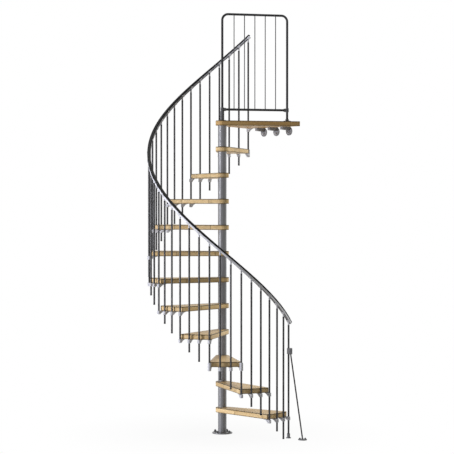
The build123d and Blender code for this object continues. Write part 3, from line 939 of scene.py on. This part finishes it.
# bolts: washer, hexagon nut and stud end, standing on the plates that they hold
boltShape = {
    "baseCount": 4,
    "baseCircle": 0.074,
    "baseAngle": np.radians(56.0),
    "baseTop": 0.010,
    "baseSize": 0.012,  # a bolt's size is its washer's radius
    "braceSpacing": 0.046,
    "braceSize": 0.008,
    "fixingCount": 3,
    "fixingSize": 0.012,
    "fixingSpacing": 0.169,
    "fixingOffset": -0.031,
    "fixingDrop": 0.054,
    "fixingPlate": 0.009,
    "halfKey": 0.75,  # half the key width, times the size
    "washerRows": [[0, 0], [1, 0], [1, 0.15], [0.96, 0.2], [0, 0.2]],  # radius and height, times the size
    "nutRows": [[0, 0.2], [1, 0.2], [1, 0.92], [0.96, 1.02], [0, 1.02]],  # radius times the half key
    "nutFlats": [False, True, True, False, False],
    "studRows": [[0, 1], [0.47, 1], [0.47, 1.45], [0.38, 1.55], [0, 1.55]],
    "washerSides": 24,
    "nutSides": 36,
    "studSides": 16,
    "crease": np.radians(30),
}


def boltParts(places, axis, size):
    # washer, nut and stud as turned rows; the nut's rows are hexagons between chamfered ends
    shape = boltShape
    turn = turnToAxis(axis)
    washer = np.array(shape["washerRows"]) * size
    nut = np.array(shape["nutRows"]) * [shape["halfKey"] * size, size]
    stud = np.array(shape["studRows"]) * size
    return [
        surface(lathe(washer, places, shape["washerSides"], turn)),
        surface(lathe(nut, places, shape["nutSides"], turn, shape["nutFlats"])),
        surface(lathe(stud, places, shape["studSides"], turn)),
    ]


shape = boltShape
crease = shape["crease"]
baseAngles = shape["baseAngle"] + np.arange(shape["baseCount"]) * fullTurn / shape["baseCount"]
basePlan = polarPoint(shape["baseCircle"], baseAngles).T
basePlaces = np.column_stack([basePlan, np.full(shape["baseCount"], shape["baseTop"])])
braceLow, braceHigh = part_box("brace_foot")
braceMiddle = np.array((braceLow + braceHigh) / 2)
braceX = braceMiddle[0] + np.array([-1, 1]) * shape["braceSpacing"] / 2
bracePlaces = np.column_stack([braceX, np.full(2, braceMiddle[1]), np.full(2, braceHigh[2])])
fromMiddle = np.arange(shape["fixingCount"]) - (shape["fixingCount"] - 1) / 2
fixingAlong = shape["fixingOffset"] + fromMiddle * shape["fixingSpacing"]
fixingFace = boardShape["exitDistance"] - shape["fixingPlate"]
fixingPlan = exitNormal * fixingFace + np.multiply.outer(fixingAlong, exitAlong)
fixingLevel = np.full(shape["fixingCount"], landingUnder - shape["fixingDrop"])
fixingPlaces = np.column_stack([fixingPlan, fixingLevel])
inwards = [-exitNormal[0], -exitNormal[1], 0.0]
plateBolts = boltParts(basePlaces, upwards, shape["baseSize"])
plateBolts += boltParts(bracePlaces, upwards, shape["braceSize"])
addPiece("plateBolts", plateBolts, metals["boltSteel"], crease=crease)
fixingBolts = boltParts(fixingPlaces, inwards, shape["fixingSize"])
addPiece("fixingBolts", fixingBolts, metals["castGrey"], crease=crease)
print("bolts set:", len(basePlaces) + len(bracePlaces) + len(fixingPlaces))

# finishes of the nodes that keep their own mesh
nodeFinishes = {
    "base_flange": "columnPaint",
    "center_pole": "poleSteel",
    "landing_fixings": "plateGrey",
    "rail_saddles": "castGrey",
    "first_baluster_foot": "fixingGrey",
    "brace_clamp": "fixingGrey",
    "brace_rod": "balusterPaint",
    "brace_foot": "fixingGrey",
    "landing_rail_tees": "rodGrey",
    "landing_post_fittings": "rodGrey",
}
for name, finish in nodeFinishes.items():
    nodes[name].data.materials.clear()
    nodes[name].data.materials.append(metals[finish])

# floor, light and camera
studio = {
    "floorSize": 60.0,
    "floorTone": (0.56, 0.56, 0.56, 1),
    "floorRough": 0.9,
    "floorShadow": 0.93,
    "floorFade": (0.2, 1.5),  # distances between which the shadow fades out
    "ambient": 0.19,
    "ambientTint": (1.0, 0.975, 0.89, 1),
    "white": (1, 1, 1, 1),
    "lampAim": (0.0, 0.0, 1.6),
    "cameraPlace": (-0.024, -13.79, 1.98),
    "cameraAim": (0.0407, 0.0, 1.7828),
    "lens": 126.7,
    "sensorWidth": 36.0,
}
lampLooks = {
    "keyLamp": dict(place=(-7.25, -3.38, 1.65), power=510.0, size=(2.0, 3.0), tint=(1.0, 1.0, 1.10)),
    "topLamp": dict(place=(0.0, 0.4, 13.0), power=480.0, size=(5.0, 5.0), tint=(1.0, 0.99, 0.96)),
    "rimLamp": dict(place=(6.31, 3.08, 1.9), power=300.0, size=(2.0, 3.0), tint=(1.0, 0.99, 0.96)),
}
lampsWithoutGlint = ["rimLamp"]


def lookAt(thing, target):
    # turns -Z along the line to the target, with Y upwards
    thing.rotation_euler = (Vector(target) - thing.location).to_track_quat("-Z", "Y").to_euler()


def addLamp(name, look):
    # rectangular lamp, unseen by the camera, aimed at the stair's middle
    data = bpy.data.lights.new(name, "AREA")
    data.energy = look["power"]
    data.color = look["tint"]
    data.shape = "RECTANGLE"
    data.size, data.size_y = look["size"]
    lamp = bpy.data.objects.new(name, data)
    lamp.location = look["place"]
    lamp.visible_camera = False
    lamp.visible_glossy = name not in lampsWithoutGlint
    bpy.context.scene.collection.objects.link(lamp)
    lookAt(lamp, studio["lampAim"])


def seenRay(tree):
    # one where a ray comes straight from the camera or by a mirror or a clear piece, else zero
    path = addNode(tree, "ShaderNodeLightPath").outputs
    mirrored = mathNode(tree, "MAXIMUM", path["Is Glossy Ray"], path["Is Transmission Ray"])
    return mathNode(tree, "MAXIMUM", path["Is Camera Ray"], mirrored)


def makeFloor():
    # white to seen rays, with a little of the lit floor mixed in near the column so that the shadow stays
    half = studio["floorSize"] / 2
    corners = [(-half, -half, 0), (half, -half, 0), (half, half, 0), (-half, half, 0)]
    mesh = bpy.data.meshes.new("studioFloor")
    mesh.from_pydata(corners, [], [(0, 1, 2, 3)])
    floor = bpy.data.objects.new("studioFloor", mesh)
    bpy.context.scene.collection.objects.link(floor)
    material, tree, shader = newFinish("paleFloor")
    shader.inputs["Base Color"].default_value = studio["floorTone"]
    shader.inputs["Roughness"].default_value = studio["floorRough"]
    place = addNode(tree, "ShaderNodeTexCoord").outputs["Object"]
    away = addNode(tree, "ShaderNodeVectorMath", {0: place}, operation="LENGTH").outputs["Value"]
    white = addNode(tree, "ShaderNodeEmission", {"Color": studio["white"], "Strength": 1.0}).outputs[0]
    faded = spread(tree, away, *studio["floorFade"], studio["floorShadow"], 1.0)
    whiteShare = mathNode(tree, "MULTIPLY", seenRay(tree), faded)
    mixed = addNode(tree, "ShaderNodeMixShader", {0: whiteShare, 1: shader.outputs[0], 2: white}).outputs[0]
    tree.links.new(mixed, tree.nodes["Material Output"].inputs["Surface"])
    mesh.materials.append(material)


def makeWorld():
    # white to seen rays, a soft warm light to all others
    world = bpy.data.worlds.new("studioWorld")
    world.use_nodes = True
    tree = world.node_tree
    tree.nodes.clear()
    seen = addNode(tree, "ShaderNodeBackground", {"Color": studio["white"], "Strength": 1.0}).outputs[0]
    softKeys = {"Color": studio["ambientTint"], "Strength": studio["ambient"]}
    soft = addNode(tree, "ShaderNodeBackground", softKeys).outputs[0]
    mixed = addNode(tree, "ShaderNodeMixShader", {0: seenRay(tree), 1: soft, 2: seen}).outputs[0]
    addNode(tree, "ShaderNodeOutputWorld", {"Surface": mixed})
    bpy.context.scene.world = world


makeFloor()
makeWorld()
for name, look in lampLooks.items():
    addLamp(name, look)
cameraData = bpy.data.cameras.new("photoCamera")
cameraData.lens = studio["lens"]
cameraData.sensor_width = studio["sensorWidth"]
camera = bpy.data.objects.new("photoCamera", cameraData)
camera.location = studio["cameraPlace"]
bpy.context.scene.collection.objects.link(camera)
lookAt(camera, studio["cameraAim"])
bpy.context.scene.camera = camera
bpy.context.scene.view_settings.view_transform = "Standard"
print("studio lit")
